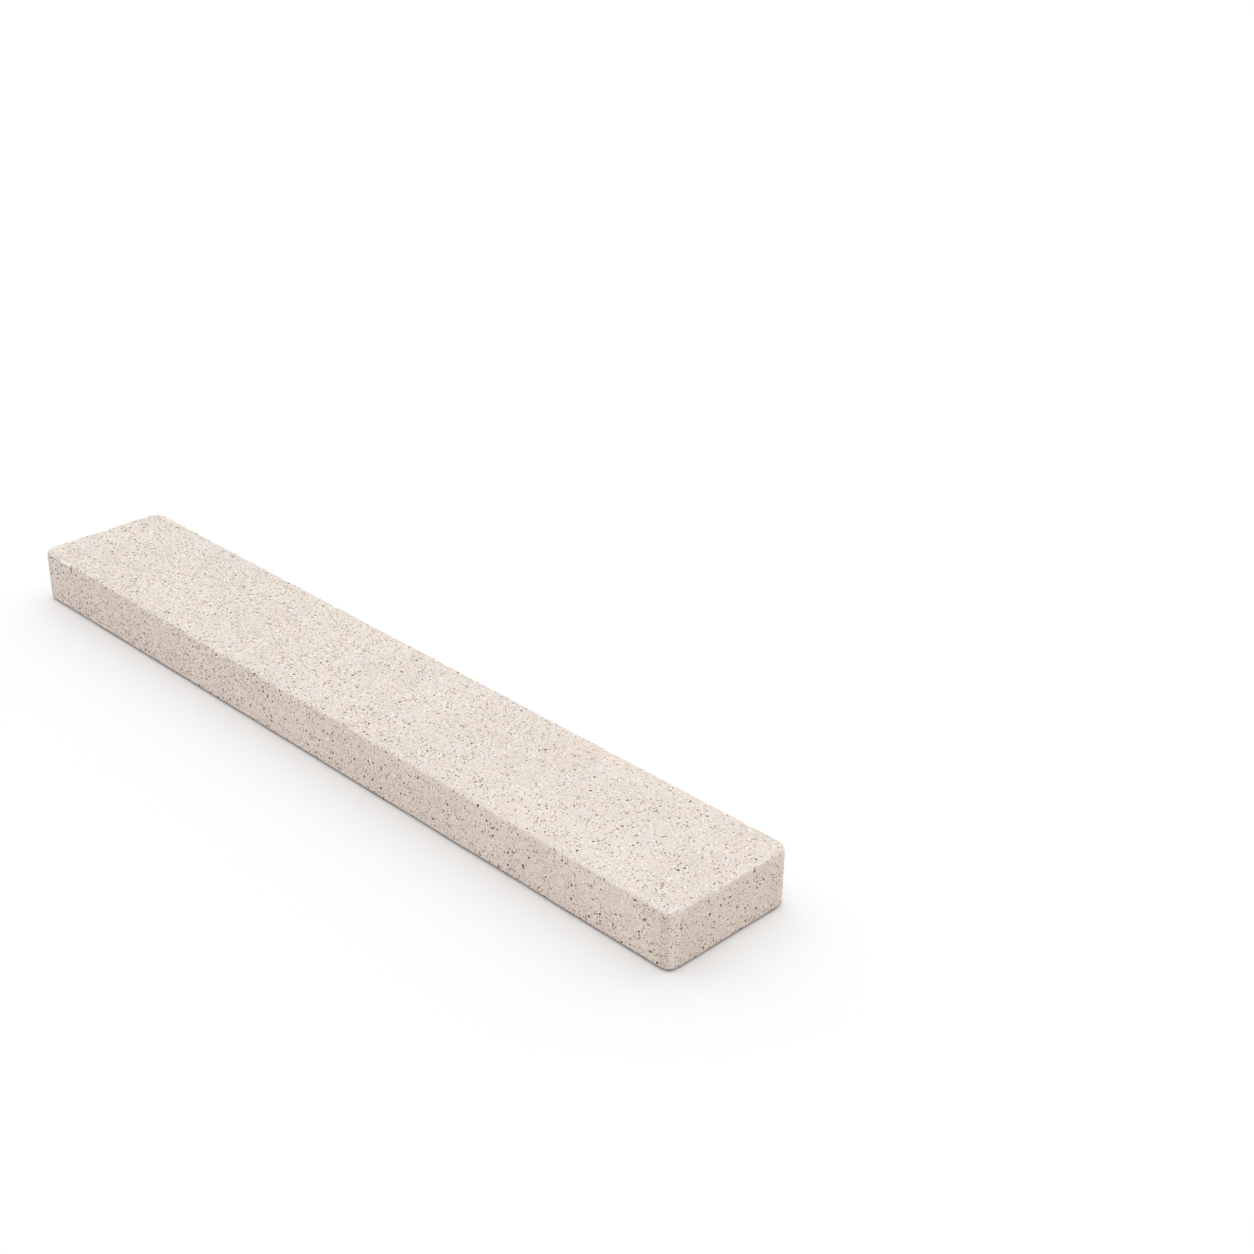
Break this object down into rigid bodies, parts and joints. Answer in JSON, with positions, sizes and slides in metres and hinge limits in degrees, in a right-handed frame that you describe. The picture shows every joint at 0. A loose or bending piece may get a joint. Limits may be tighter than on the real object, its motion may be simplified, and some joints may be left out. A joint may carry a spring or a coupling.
{
  "type": "brick slip",
  "caption": "Long, slim rectangular brick slip with eased edges, a thin facing unit that is glued flat to a wall in courses.",
  "frame": {"origin": "middle of the back face, which the slip lies on", "axes": "+X along the length, +Y across the show face, +Z out of the show face"},
  "size_m": [0.3, 0.047, 0.018],
  "materials": {
    "fired_clay": "matt pale beige fired clay, sanded and finely speckled with dark and light grains"
  },
  "bodies": {
    "root": {"brick_slip": "fired_clay"}
  },
  "joints": []
}
